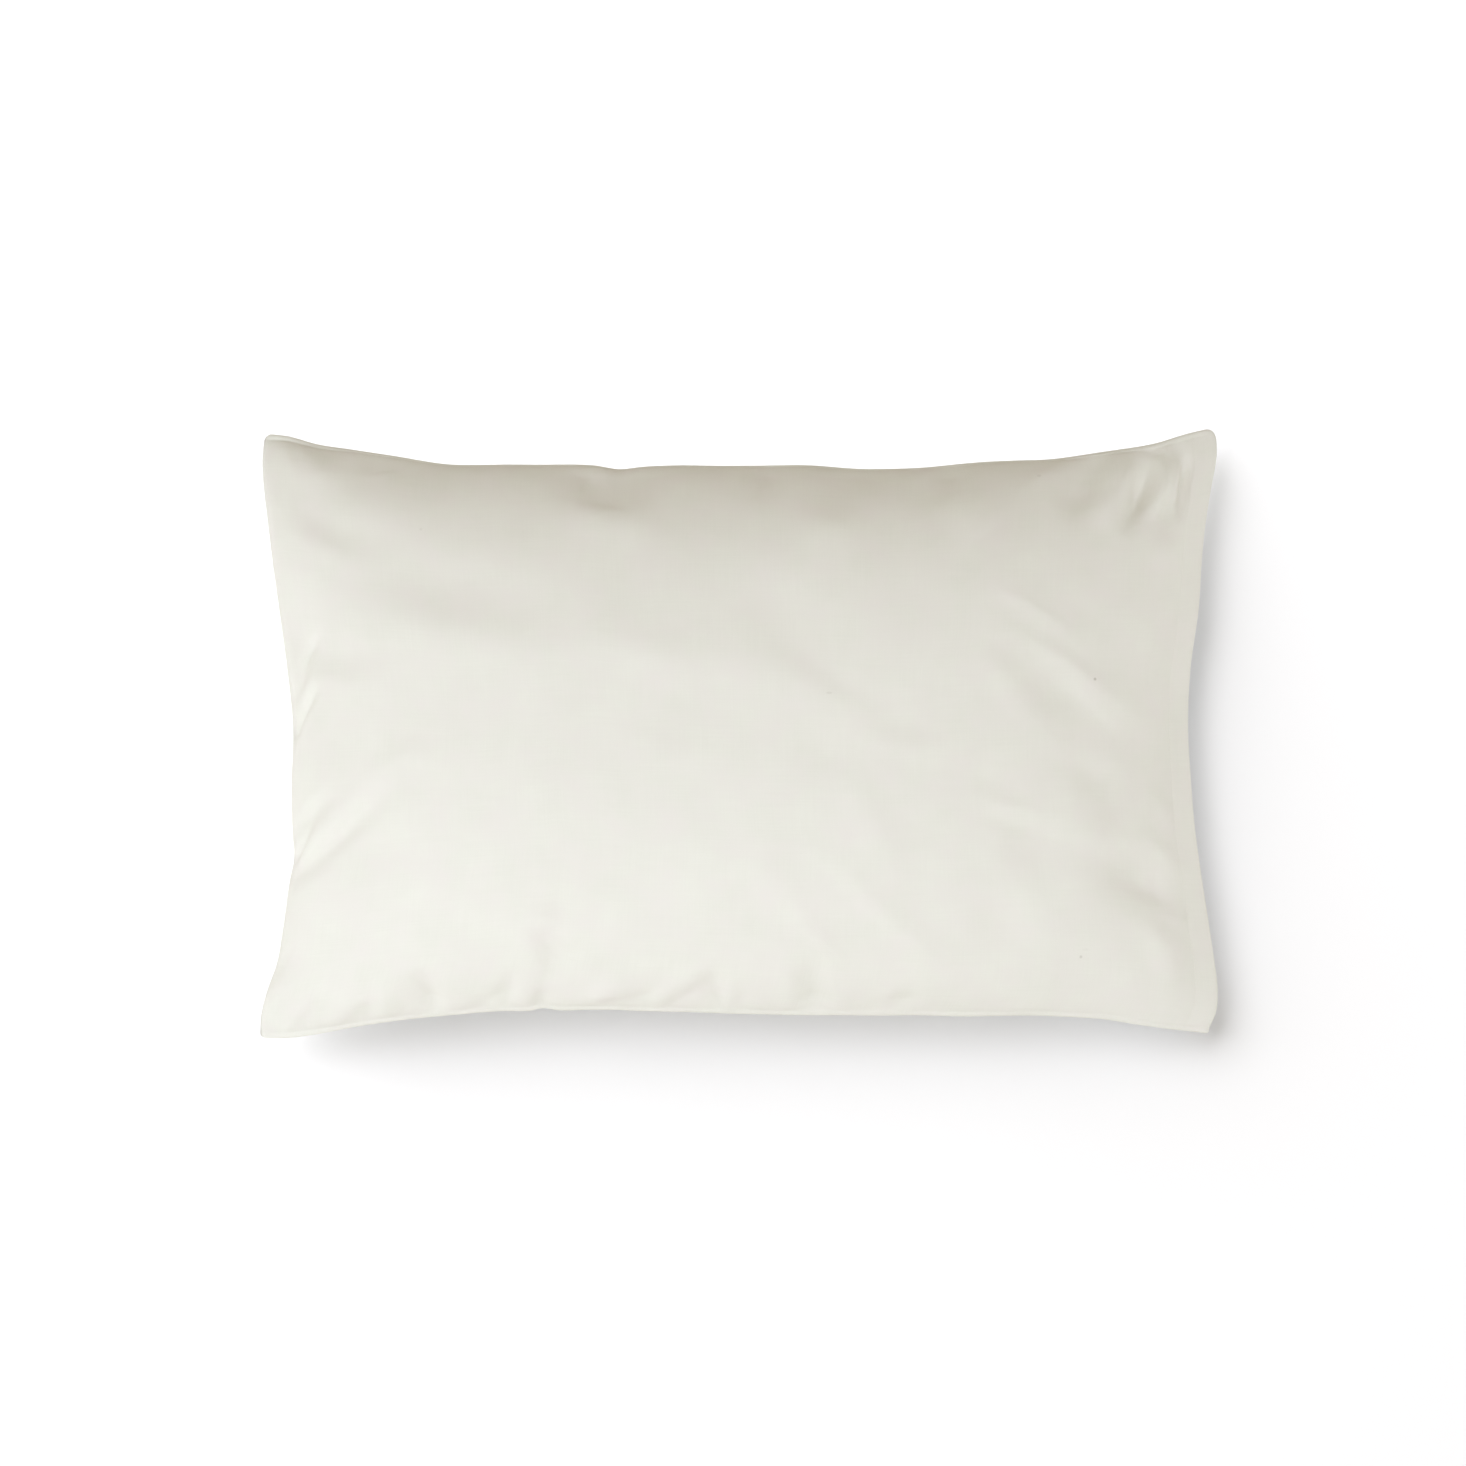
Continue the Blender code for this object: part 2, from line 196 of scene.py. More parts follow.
# Each fold runs from its start, through its middle, to its end, seen from above. Height is
# over the cloth around it, and a trough has a height below zero.
Fold = namedtuple("Fold", "start_x start_y middle_x middle_y end_x end_y half_width height")
TOP_EDGE_FOLDS = [
    # far fold corner
    Fold(-370, 241, -367, 225, -357, 215, 4.5, -2.5),
    Fold(-386, 249, -353, 218, -330, 186, 17, 8),
    # along the far seam
    Fold(-304, 224, -279, 214, -289, 194, 12.5, -1.9),
    Fold(-251, 228, -243, 201, -245, 179, 15, -0.8),
    Fold(-124, 228, -124, 200, -126, 178, 7, -1.5),
    Fold(-107, 230, -107, 205, -102, 187, 5.5, 1),
    Fold(-104, 227, -102, 199, -105, 175, 22, 12.5),
    Fold(26, 224, 20, 200, 10, 179, 5, -1.9),
    Fold(27, 221, 22, 195, 13, 173, 19, -2.5),
    Fold(103, 213, 73, 189, 58, 165, 24, -3),
    Fold(175, 222, 162, 195, 124, 182, 14, -4),
    Fold(181, 226, 172, 194, 142, 176, 6.5, -0.4),
    # fan at the far hem corner
    Fold(293, 246, 257, 211, 218, 181, 8, 3),
    Fold(306, 240, 286, 195, 254, 175, 18, -12.5),
    Fold(305, 244, 296, 205, 273, 172, 5.5, -1.3),
    Fold(320, 241, 298, 198, 295, 157, 13, 10),
    Fold(337, 238, 315, 198, 289, 163, 8, 4.5),
    Fold(332, 244, 320, 201, 302, 167, 6.5, 0.4),
    Fold(335, 246, 330, 191, 307, 158, 10.5, -9),
    Fold(345, 247, 337, 198, 318, 169, 4.5, -2.5),
    Fold(339, 246, 338, 222, 327, 206, 4.5, 2),
    Fold(360, 249, 351, 199, 332, 170, 6.5, 6.5),
    Fold(354, 252, 362, 223, 347, 211, 4, 2.5),
    Fold(353, 250, 368, 233, 356, 216, 8.5, -4),
    Fold(369, 238, 371, 198, 332, 167, 14.5, -11.5),
    # pulls at the round fold, and the kink in it
    Fold(-354, 66, -358, 97, -342, 124, 18.5, -4),
    Fold(-369, 15, -356, 50, -337, 80, 6.5, -4),
    Fold(-366, 21, -355, 40, -343, 68, 8, -4.5),
    Fold(-368, -9, -354, 16, -331, 31, 6, -7),
    Fold(-370, 8, -356, 28, -340, 46, 6, 1.2),
    Fold(-357, -83, -344, -57, -317, -41, 6.5, 1),
    Fold(-362, -90, -344, -73, -320, -49, 7, -6),
    Fold(-364, -97, -354, -84, -343, -79, 5.5, 3.5),
    Fold(-360, -116, -328, -88, -302, -40, 9, 5.5),
    Fold(-364, -118, -325, -92, -267, -41, 10.5, -9),
    Fold(-364, -117, -342, -95, -328, -68, 5, 3.5),
    # near fold corner
    Fold(-389, -237, -369, -211, -343, -193, 10.5, 7),
    Fold(-380, -205, -368, -187, -356, -169, 4, -3),
    Fold(-385, -253, -361, -219, -332, -202, 6.5, -1),
    Fold(-373, -254, -353, -227, -336, -213, 5, 3.5),
    Fold(-354, -256, -351, -233, -351, -218, 7, -0.7),
    Fold(-341, -260, -313, -228, -281, -210, 9.5, 5.5),
    Fold(-317, -252, -302, -230, -289, -215, 9, -2.5),
    # gathers along the near seam
    Fold(-286, -242, -283, -214, -280, -194, 10.5, 4),
    Fold(-263, -250, -266, -220, -264, -196, 8.5, -0.6),
    Fold(-241, -238, -252, -212, -260, -194, 10, -8),
    Fold(-212, -240, -207, -224, -197, -214, 5.5, -1.2),
    Fold(-217, -234, -194, -218, -187, -196, 6.5, -3),
    Fold(-191, -238, -183, -210, -183, -192, 6.5, -3.5),
    Fold(-167, -237, -161, -222, -154, -210, 6, -4),
    Fold(-171, -233, -149, -218, -133, -201, 4.5, -0.5),
    Fold(-128, -240, -102, -212, -62, -203, 9.5, 5),
    Fold(-111, -239, -96, -224, -84, -204, 7.5, 3),
    Fold(-121, -226, -86, -220, -59, -211, 4, -1.9),
    Fold(-66, -232, -48, -206, -11, -186, 7.5, 2.5),
    Fold(-55, -238, -44, -214, -24, -192, 5.5, 1.4),
    Fold(-57, -229, -35, -214, -10, -205, 7, -2.5),
    Fold(-32, -238, -27, -212, -23, -192, 5, -0.9),
    Fold(-15, -236, -20, -212, -19, -196, 8.5, -5),
    Fold(-11, -236, -6, -212, -4, -198, 4.5, 0.4),
    Fold(-5, -238, 1, -222, -5, -208, 6.5, -3),
    Fold(52, -239, 42, -208, 33, -183, 9, 2.5),
    Fold(64, -239, 58, -208, 69, -180, 14.5, -8),
    Fold(100, -241, 126, -234, 149, -212, 12, -9),
    Fold(130, -240, 134, -222, 129, -205, 9.5, -2),
    Fold(154, -233, 176, -231, 192, -218, 11, -1.8),
    Fold(289, -242, 290, -231, 295, -222, 5.5, 1.3),
    # pulls in from the hem
    Fold(376, -71, 350, -66, 339, -43, 9, 4),
    Fold(376, -106, 354, -91, 334, -89, 6.5, -1.5),
    Fold(375, -118, 344, -102, 316, -83, 7.5, 1.8),
    Fold(374, -163, 331, -144, 292, -130, 8.5, 2.5),
]
TOP_FREE_FOLDS = [
    # under the far seam
    Fold(-379, 191, -310, 181, -231, 150, 20.5, 1.9),
    Fold(-134, 165, -108, 170, -74, 175, 6, 0.4),
    Fold(-148, 195, -105, 165, -60, 170, 21, 4),
    Fold(205, 157, 190, 164, 160, 161, 24, 1.7),
    Fold(-379, 204, -334, 162, -257, 147, 12, -0.8),
    Fold(40, 168, 70, 153, 100, 170, 18.5, 1.8),
    Fold(332, 146, 356, 147, 373, 175, 13.5, 2.5),
    Fold(230, 203, 300, 211, 362, 226, 14, 1.5),
    Fold(-377, 172, -339, 144, -291, 121, 11.5, 1.3),
    # long soft waves over the crown
    Fold(-264, 139, -216, 116, -143, 97, 12.5, -0.6),
    Fold(-321, 142, -240, 106, -123, 72, 24, -3.3),
    Fold(-42, 88, 33, 87, 114, 6, 24, -2.5),
    Fold(8, 80, 73, 34, 155, -15, 12, -1.2),
    Fold(-320, 94, -201, 68, -63, 40, 24, 2),
    Fold(-129, 63, -69, 53, -12, 27, 19, 2.5),
    Fold(-64, 52, 17, 41, 91, 3, 21, 1.3),
    # beside the round fold
    Fold(-346, 60, -316, 48, -286, 49, 11, 0.6),
    Fold(-346, 50, -316, 32, -286, 38, 8, 0.8),
    Fold(-299, -54, -269, -29, -232, -27, 11, 1.7),
    Fold(-337, -105, -308, -85, -269, -51, 7, -1.3),
    # above the gathers
    Fold(-170, -141, -157, -168, -134, -192, 16, 5),
    Fold(-156, -151, -151, -177, -115, -198, 12.5, -7.5),
    # long pulls towards the near side
    Fold(80, -5, 128, -21, 170, -16, 10, 1.1),
    Fold(-100, -11, -55, -25, -10, -31, 11.5, 0.7),
    Fold(29, 19, 83, -50, 125, -120, 14.5, -1.3),
    Fold(51, -27, 99, -73, 127, -139, 14, 2.5),
    Fold(26, -98, 86, -138, 160, -215, 12, -5.5),
    Fold(31, -94, 95, -144, 178, -212, 14, 7),
    Fold(0, -105, 46, -147, 89, -205, 13.5, 1.8),
    Fold(47, -155, 67, -175, 92, -192, 7, 1.7),
    # slanting pulls along the hem end
    Fold(196, 108, 240, 90, 280, 64, 5, 0.7),
    Fold(190, 98, 232, 76, 262, 52, 6, -0.4),
    Fold(222, 104, 262, 80, 300, 48, 4, -0.5),
    Fold(228, 68, 268, 44, 312, 4, 6, 1.2),
    Fold(240, 50, 280, 22, 318, -14, 5, 0.9),
    Fold(186, -62, 226, -70, 276, -78, 5, 0.6),
    Fold(190, -76, 232, -86, 270, -100, 5, -0.6),
    Fold(194, 109, 247, 92, 304, 43, 12.5, 1.3),
    Fold(215, 119, 259, 90, 319, 78, 16.5, -1.7),
    Fold(192, 88, 238, 51, 326, -2, 14.5, 1.6),
    Fold(199, 59, 211, 41, 240, 20, 13, 0.9),
    Fold(190, 82, 254, 34, 312, -24, 22, -3.8),
    Fold(224, 71, 286, 33, 349, -14, 12, 1.6),
    Fold(186, 63, 227, 12, 281, -41, 11.5, 0.9),
    Fold(249, -34, 283, -37, 320, -53, 12.5, -1),
    Fold(261, -32, 292, -44, 322, -49, 8.5, -0.5),
    Fold(176, -45, 205, -50, 233, -69, 9.5, -0.9),
    Fold(260, -46, 293, -54, 311, -92, 14, -2),
    Fold(175, -75, 205, -79, 236, -89, 7.5, -0.8),
    Fold(262, -71, 289, -93, 324, -97, 12, 1.4),
    Fold(202, -113, 239, -101, 272, -125, 24, -3),
    Fold(368, -145, 326, -127, 285, -95, 23, -8.5),
    Fold(192, -130, 210, -161, 248, -153, 19.5, -4.5),
    Fold(355, -149, 358, -178, 343, -205, 10, 2.5),
    Fold(314, -144, 345, -181, 359, -227, 13.5, 4.5),
]
TOP_CREASES = [
    # far hem corner
    Fold(375, 231, 372, 203, 364, 170, 4, -5.2),
    Fold(367, 234, 363, 204, 355, 172, 5, 3.5),
    Fold(350, 220, 329, 183, 312, 156, 6.5, -2),
    Fold(358, 220, 350, 196, 338, 170, 5, 2.5),
    Fold(330, 236, 348, 232, 368, 224, 5, -1.2),
    # round fold
    Fold(-367, -16, -357, 6, -340, 34, 3, -4),
    Fold(-364, 34, -354, 56, -334, 74, 3, -2.2),
    Fold(-363, -118, -354, -98, -341, -77, 3, -3.5),
]
BACK_EDGE_FOLDS = [
    # one ear at each corner
    Fold(-394, 241, -360, 214, -325, 190, 14, 5),
    Fold(-388, -243, -358, -216, -326, -192, 14, 5),
    Fold(372, 243, 345, 214, 316, 188, 14, 5),
    Fold(368, -240, 340, -212, 312, -188, 14, 5),
    # gathers between them
    Fold(-215, 240, -212, 206, -205, 186, 10, -4),
    Fold(-75, 240, -78, 204, -86, 184, 11, -4),
    Fold(70, 240, 74, 204, 66, 184, 10, -3.5),
    Fold(205, 245, 202, 210, 192, 188, 11, -4),
    Fold(-240, -250, -232, -216, -222, -194, 10, -4),
    Fold(-90, -245, -94, -212, -104, -190, 11, -4),
    Fold(45, -250, 48, -214, 40, -192, 10, -3.5),
    Fold(190, -250, 184, -216, 172, -194, 11, -4),
    Fold(-385, 60, -352, 52, -330, 58, 11, -4),
    Fold(-380, -60, -350, -66, -326, -56, 11, -4),
    Fold(372, 70, 338, 62, 312, 68, 11, -4),
    Fold(372, -80, 336, -72, 310, -80, 11, -4),
]
BACK_FREE_FOLDS = [
    # pulls that fan in from the corners
    Fold(-352, 190, -318, 168, -270, 160, 9, -3),
    Fold(-340, -160, -300, -150, -250, -158, 9, -3),
    Fold(345, 172, 305, 160, 262, 166, 9, -3),
    Fold(338, -178, 300, -160, 255, -168, 9, -3),
    # slack along the sides
    Fold(-180, 196, -120, 186, -40, 196, 10, -2.5),
    Fold(10, 192, 80, 184, 150, 194, 9, -2),
    Fold(-160, -204, -90, -196, -20, -206, 10, -2.5),
    Fold(60, -206, 130, -196, 210, -204, 10, -2.5),
    # slack at both ends
    Fold(-338, 60, -322, 10, -332, -50, 9, -2),
    Fold(336, 80, 322, 20, 330, -60, 9, -2),
]

# Broad hollows and swells in the filling
Swell = namedtuple("Swell", "x y reach_x reach_y height")
TOP_SWELLS = [
    Swell(-103, 203, 30, 24, -10),
    Swell(-315, 52, 26, 14, -2),
    Swell(-250, -130, 130, 90, 3),
    Swell(170, -60, 120, 90, -3),
    Swell(110, 150, 150, 60, 2),
]

# ---- stitches
STITCH_PITCH = 0.0030
STITCH_LENGTH = 0.0022
THREAD_RADIUS = 0.00022
STITCH_STANDS = 0.00005  # how far a stitch's middle line stands off the cloth
STITCH_SIDES = 5
STITCH_RINGS = (0.0, 0.15, 0.85, 1.0)  # shares of a stitch's length
STITCH_TIP = 0.02  # share of a stitch's section that is left at its two ends
FOLD_CLEAR_COLUMNS = 3  # columns beside the round fold that the seams' stitches keep clear of
# A stitch's own square of the picture: its sides as a strip, with its two ends beside them
STRIP_MARGIN = 0.05
STRIP_WIDTH = 0.6
STRIP_HEIGHT = 0.9
END_MIDDLES = ((0.82, 0.28), (0.82, 0.72))
END_RADIUS = 0.12

# ---- cotton
CLOTH_LOOK = {
    "Threads Per Metre": 2200.0,
    "Light Colour": (0.878, 0.866, 0.786, 1),
    "Deep Colour": (0.822, 0.81, 0.73, 1),
    "Blush Colour": (0.86, 0.822, 0.768, 1),
    "Slubs": 0.5,
}
THREAD_LOOK = {
    "Threads Per Metre": 5200.0,
    "Light Colour": (0.885, 0.873, 0.793, 1),
    "Deep Colour": (0.85, 0.838, 0.758, 1),
    "Blush Colour": (0.87, 0.84, 0.78, 1),
    "Slubs": 0.1,
}
CLOTH_THREAD_HEIGHT = 0.00012
TWIST_HEIGHT = 0.00004
WEAVE_STRENGTH = 0.5
COTTON_SPECULAR = 0.1
CROSSING_DIP = 0.4  # share of a thread's height that it loses where it goes under
THREAD_ROUGHNESS = (0.88, 0.1)  # between threads, and what a thread's top adds
THREAD_TOP_PAINTED_LIGHT = 0.3  # painted light: how much of the light colour a thread's top adds, so the hollows between threads are painted darker as shade
CLOUD_CONTRAST = (1.3, -0.3)  # gain and shift of the mottling
BLUSH_CONTRAST = (2.0, -0.75)  # the same for the pinkish patches
# How often these change in a metre, along the cloth, across it and through it
SLUBS_ALONG = (22, 800, 0)
SLUBS_ACROSS = (800, 22, 0)
CLOUDS = (24, 24, 24)
BLUSHES = (34, 34, 34)

Fleck = namedtuple("Fleck", "x y length width strength")
FLECKS = [
    Fleck(-258.5, 156, 3.5, 3, 0.12),
    Fleck(68.5, 20, 7, 2.5, 0.16),
    Fleck(283.5, 35, 3.5, 3.5, 0.5),
    Fleck(244.5, 206, 5, 3.5, 0.16),
    Fleck(271.5, -187, 3.5, 3.5, 0.3),
    Fleck(275, -181, 8, 3, 0.05),
]
FLECK_COLOUR = (0.4, 0.37, 0.29, 1)
FLECK_CORE = 0.3  # share of a fleck's reach within which it is at full strength

# ---- camera, light and floor
TILT = math.radians(5)
AIM = Vector((-0.007, -0.0056, 0.06))
DISTANCE = 1.68
HALF_FRAME = 733
FOCAL_LENGTH = 2057.1  # in pixels of the 1466 pixel frame

# A lamp lights the case, the floor, or the floor alone with nothing in its way. Its tilt is
# from straight overhead, and its turn is from the near side towards the fold.
Lamp = namedtuple("Lamp", "name tilt turn power size distance colour lights")
LAMPS = [
    Lamp("key", 30, 40, 21.5, 1.0, 2.2, (0.907, 0.984, 1.12), "case"),
    Lamp("left", 60, 90, 11.8, 1.0, 2.2, (0.907, 0.984, 1.12), "case"),
    Lamp("right", 60, -90, 12.2, 1.0, 2.2, (0.907, 0.984, 1.12), "case"),
    Lamp("front_right", 40, -60, 2.6, 1.0, 2.2, (0.907, 0.984, 1.12), "case"),
    Lamp("overhead", 20, 0, 5.3, 1.0, 2.2, (0.907, 0.984, 1.12), "case"),
    Lamp("low_front", 72, 15, 1.2, 1.0, 2.2, (0.907, 0.984, 1.12), "case"),
    Lamp("floor_key", 52, 124, 3020, 15.3, 15.0, (0.974, 0.99, 1.05), "floor"),
    Lamp("floor_fill", 0, 0, 860, 15.0, 15.0, (0.917, 1.03, 1.25), "floor_only"),
]
LAMPS_AIM = Vector((0, 0, 0.05))
SKY_COLOUR = (1.25, 1.0, 0.54, 1)
SKY_STRENGTH = 0.213
WALL_COLOUR = (0.93, 0.93, 0.92, 1)
FLOOR_COLOUR = (0.93, 0.93, 0.93, 1)
FLOOR_HALF = 6

# ---- shape of the cloth


def read_side(table, place, column):
    """One column of an outline table at each place, on a smooth curve through its rows."""
    rows = np.array(table) * MM
    places = rows[:, 0]
    values = rows[:, column]
    slopes = np.gradient(values, places)
    row = np.clip(np.searchsorted(places, place) - 1, 0, len(places) - 2)
    gap = places[row + 1] - places[row]
    share = (place - places[row]) / gap
    start = (1 + 2 * share) * (1 - share) ** 2 * values[row]
    end = share**2 * (3 - 2 * share) * values[row + 1]
    leave = share * (1 - share) ** 2 * gap * slopes[row]
    arrive = share**2 * (share - 1) * gap * slopes[row + 1]
    return start + end + leave + arrive


def stations(count):
    """Places from -1 to 1, closer together towards both ends."""
    even = np.linspace(-1, 1, count)
    return (1 - EDGE_CROWDING) * even + EDGE_CROWDING * np.sin(math.pi / 2 * even)


def uneven(x, y, length, seed):
    """Smooth unevenness from -1 to 1, with bumps about one length apart."""
    places = np.column_stack([x.ravel(), y.ravel()]) / length
    values = [noise.noise((a, b, seed)) for a, b in places]
    return np.array(values).reshape(x.shape)


class Net:
    """The places of one panel's points: rows run across the case and columns along it."""

    def __init__(self):
        along = stations(CLOTH_COLUMNS)
        # The hem's last half column is its rounded edge
        hem = np.arange(1, HEM_COLUMNS + 1) / (HEM_COLUMNS + 0.5)
        turn = np.arange(1, EDGE_ARC_COLUMNS + 1) / EDGE_ARC_COLUMNS
        slit = np.arange(1, SLIT_COLUMNS + 1) / SLIT_COLUMNS
        spare = len(hem) + len(turn) + len(slit)
        across = stations(CLOTH_ROWS)
        lips = np.array(LIP_SHARES)
        u = np.concatenate([along, np.ones(spare)])
        hem = np.concatenate([0 * along, hem, 1 + 0 * turn, 1 + 0 * slit])
        turn = np.concatenate([0 * along, np.zeros(HEM_COLUMNS), turn, 1 + 0 * slit])
        slit = np.concatenate([np.zeros(len(u) - SLIT_COLUMNS), slit])
        v = np.concatenate([-1 + 0 * lips, across, 1 + 0 * lips])
        lip = np.concatenate([-lips[::-1], 0 * across, lips])
        self.u, self.v = np.meshgrid(u, v)
        self.hem, self.lip = np.meshgrid(hem, lip)
        self.turn = np.meshgrid(turn, lip)[0]
        self.slit = np.meshgrid(slit, lip)[0]


def lip_droop(u, lip):
    """Angle at which a seam's lip hangs: steepest halfway along, and level at the corners."""
    return np.where(lip > 0, FAR_DROOP, NEAR_DROOP) * (1 - np.abs(u) ** LIP_LEVELS)


def hem_droop(v):
    """Angle at which the hem hangs, which levels off towards the corners."""
    return HEM_DROOP * (1 - HEM_LEVELLING * np.abs(v) ** SINK_POWER)


def puff(u, v):
    """Share of the full crown: 0 along the stitching and 1 in the middle."""
    end_round = np.where(u > 0, MOUTH_END_ROUND, FOLD_END_ROUND)
    along = (1 - np.abs(u) ** END_POWER) ** end_round
    across = (1 - np.abs(v) ** WIDTH_POWER) ** WIDTH_ROUND
    return along * across


def edge_height(u, v):
    """Height of the middle of the seam, carried inwards over the whole panel."""
    end_height = np.where(u > 0, MOUTH_HEIGHT, SEAM_HEIGHT)
    end_height = end_height + (CORNER_HEIGHT - end_height) * np.abs(v) ** SINK_POWER
    return SEAM_HEIGHT + (end_height - SEAM_HEIGHT) * np.abs(u) ** SINK_POWER


def mouth_open(v):
    """How far the mouth's slit is open: 1 in its middle and 0 at both seams."""
    return 1 - np.abs(v) ** MOUTH_CLOSES


def half_cloth(net):
    """Half the thickness of the closed cloth at its edges, and of the slit in the mouth."""
    rounding = np.clip((np.abs(net.lip) - LIP_ROUNDS_FROM) / (1 - LIP_ROUNDS_FROM), 0, 1)
    rounded = np.sqrt(1 - rounding**2)
    lip_half = LIP_THICKNESS / 2 * (1 - STITCH_PINCH * (net.lip == 0))
    closing = np.sqrt(np.clip((1 + net.u) / 2 / FOLD_CLOSES, 0, 1))
    cloth = np.where(net.hem > 0, HEM_THICKNESS / 2, lip_half) * rounded * closing
    slit = MOUTH_GAP / 2 * mouth_open(net.v) * (net.turn > 0)
    outer = np.where(net.turn > 0, (1 + np.cos(math.pi * net.turn)) / 2, 1)
    return (slit + (cloth - slit) * outer) * (1 - net.slit)


def outline_place(net):
    """Where the closed cloth's middle layer lies, and how far below the panel's edge it is."""
    x_start = LONG_SIDES[0].x * MM
    y_start = SHORT_ENDS[0].y * MM
    length = LONG_SIDES[-1].x * MM - HEM_BAND - x_start
    width = SHORT_ENDS[-1].y * MM - y_start
    x_guess = x_start + (net.u + 1) / 2 * length + net.hem * HEM_BAND
    y_guess = y_start + (net.v + 1) / 2 * width
    fold_edge = read_side(SHORT_ENDS, y_guess, 1)
    droop = hem_droop(net.v)
    hem_stitching = read_side(SHORT_ENDS, y_guess, 2) - HEM_BAND * np.cos(droop)
    near = read_side(LONG_SIDES, x_guess, 1) - NEAR_SEAM_OUT * (1 - np.abs(net.u) ** LIP_LEVELS)
    far = read_side(LONG_SIDES, x_guess, 2)
    waver = LIP_WAVER * uneven(x_guess, 0 * x_guess, LIP_WAVER_LENGTH, LIP_WAVER_SEED)
    lip_angle = lip_droop(net.u, net.lip) + waver * np.abs(net.lip)

    reach = net.hem * (HEM_BAND - HEM_EDGE_RADIUS)
    reach += HEM_EDGE_RADIUS * np.sin(math.pi * net.turn) * (net.turn > 0)
    reach -= MOUTH_DEPTH * mouth_open(net.v) * net.slit
    x = fold_edge + (net.u + 1) / 2 * (hem_stitching - fold_edge) + reach * np.cos(droop)
    y = near + (net.v + 1) / 2 * (far - near) + net.lip * SEAM_LIP * np.cos(lip_angle)
    drop = np.abs(net.lip) * SEAM_LIP * np.sin(lip_angle) + reach * np.sin(droop)
    drop += HEM_CURL * np.clip(reach / HEM_BAND, 0, 1) ** 2
    return x, y, drop


def round_corners(x, y):
    """Draws the corners of the outline in onto arcs."""
    for corner in CORNERS:
        radius = corner.radius * MM
        row = 0 if corner.side_y < 0 else -1
        column = 0 if corner.side_x < 0 else -1
        edge_x = x[:, :1] if column == 0 else x.max(axis=1, keepdims=True)
        edge_y = y[:1, :] if row == 0 else y[-1:, :]
        out_x = radius - np.abs(x - edge_x)
        out_y = radius - np.abs(y - edge_y)
        inside = (out_x > 0) & (out_y > 0)
        share_x = np.clip(out_x / radius, 0, 1)
        share_y = np.clip(out_y / radius, 0, 1)
        pull_x = out_x * (1 - np.sqrt(1 - share_y**2 / 2))
        pull_y = out_y * (1 - np.sqrt(1 - share_x**2 / 2))
        x -= corner.side_x * np.where(inside, pull_x, 0)
        y -= corner.side_y * np.where(inside, pull_y, 0)


def curve_through(start, middle, end, share):
    """Places on a smooth curve through three places, and its direction there."""
    place = (1 - share) * (1 - 2 * share) * start
    place += 4 * share * (1 - share) * middle + share * (2 * share - 1) * end
    direction = (4 * share - 3) * start + (4 - 8 * share) * middle + (4 * share - 1) * end
    return place * MM, direction * MM


def edge_fade(share):
    """A fold that is full at the edge and runs out inside the panel."""
    return (1 - share**2) ** EDGE_FADE_POWER


def free_fade(share):
    """A fold that runs out at both ends."""
    return np.sin(math.pi * share) ** FREE_FADE_POWER


def folds_at(folds, fade, x, y):
    """Height that a list of folds adds: a soft bell across each one."""
    height = np.zeros_like(x)
    steps = np.linspace(0, 1, PATH_STEPS)
    for fold in folds:
        path_x, along_x = curve_through(fold.start_x, fold.middle_x, fold.end_x, steps)
        path_y, along_y = curve_through(fold.start_y, fold.middle_y, fold.end_y, steps)
        margin = FOLD_REACH * fold.half_width * MM
        close = (x > path_x.min() - margin) & (x < path_x.max() + margin)
        close &= (y > path_y.min() - margin) & (y < path_y.max() + margin)
        point_x = x[close]
        point_y = y[close]
        nearest = np.hypot(point_x[:, None] - path_x, point_y[:, None] - path_y).argmin(axis=1)
        from_x = point_x - path_x[nearest]
        from_y = point_y - path_y[nearest]
        ahead_x = along_x[nearest]
        ahead_y = along_y[nearest]
        slip = (from_x * ahead_x + from_y * ahead_y) / (ahead_x**2 + ahead_y**2)
        share = np.clip(steps[nearest] + slip, 0, 1)
        slip = share - steps[nearest]
        away = np.hypot(from_x - slip * ahead_x, from_y - slip * ahead_y)
        bell = np.exp(-((away / (fold.half_width * MM)) ** 2))
        height[close] += fold.height * MM * bell * fade(share)
    return height


def swells_at(swells, x, y):
    """Height that the uneven filling adds."""
    height = np.zeros_like(x)
    for swell in swells:
        away_x = (x / MM - swell.x) / swell.reach_x
        away_y = (y / MM - swell.y) / swell.reach_y
        height += swell.height * MM * np.exp(-(away_x**2) - away_y**2)
    return height


def facing_of(x, y, z):
    """Unit vectors out of a panel that faces up."""
    places = np.stack([x, y, z], axis=-1)
    along = np.gradient(places, axis=1)
    across = np.gradient(places, axis=0)
    out = np.cross(along, across)
    return out / np.maximum(np.linalg.norm(out, axis=-1, keepdims=True), 1e-12)


def rest(z):
    """Stops the cloth at the surface, which it meets in a short curve."""
    curve = (z + REST_BLEND) ** 2 / (4 * REST_BLEND)
    return np.where(z <= -REST_BLEND, 0, np.where(z < REST_BLEND, curve, z))


def ease_into_hem(height):
    """Takes the step out of the cloth where the crown meets the hem."""
    first = CLOTH_COLUMNS - HEM_EASE_COLUMNS
    last = CLOTH_COLUMNS + HEM_COLUMNS - 1
    eased = height.copy()
    for _ in range(HEM_EASE_ROUNDS):
        beside = eased[:, first - 1 : last - 1] + eased[:, first + 1 : last + 1]
        eased[:, first:last] = eased[:, first:last] / 2 + beside / 4
    return eased


def far_sag(u, v):
    """How much lower the far seam hangs towards the hem."""
    along = np.exp(-(((u - FAR_SAG_AT) / FAR_SAG_REACH) ** 2))
    return FAR_SAG * along * np.clip(v, 0, 1) ** FAR_SAG_POWER


